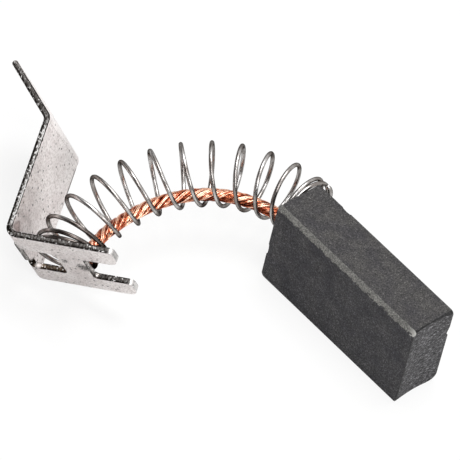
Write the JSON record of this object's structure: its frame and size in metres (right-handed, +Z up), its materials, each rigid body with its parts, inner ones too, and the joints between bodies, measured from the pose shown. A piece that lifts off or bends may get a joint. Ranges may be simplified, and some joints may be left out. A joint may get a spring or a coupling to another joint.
{
  "type": "carbon brush",
  "caption": "Carbon brush for a small motor: a carbon block with a stranded copper lead, a compression spring around the lead and a bent forked contact strip.",
  "frame": {"origin": "centre of the narrow long face that the carbon block stands on", "axes": "+X along the block towards its contact face, -Y out of the large face nearer the viewer, +Z up"},
  "size_m": [0.0521, 0.0353, 0.015],
  "materials": {
    "carbon": "dull granular electrographite",
    "copper_powder": "dull tamped copper powder",
    "copper": "bright drawn copper",
    "spring_wire": "dark drawn steel wire",
    "plated_sheet": "satin plated sheet with small pits",
    "weld": "heat-stained copper"
  },
  "bodies": {
    "root": {"carbon_block": "carbon", "tamping_plug": "copper_powder", "lead_core": "copper", "lead_strand_1": "copper", "lead_strand_2": "copper", "lead_strand_3": "copper", "lead_strand_4": "copper", "lead_strand_5": "copper", "lead_strand_6": "copper", "spring": "spring_wire", "terminal": "plated_sheet", "lead_weld": "weld"}
  },
  "joints": []
}
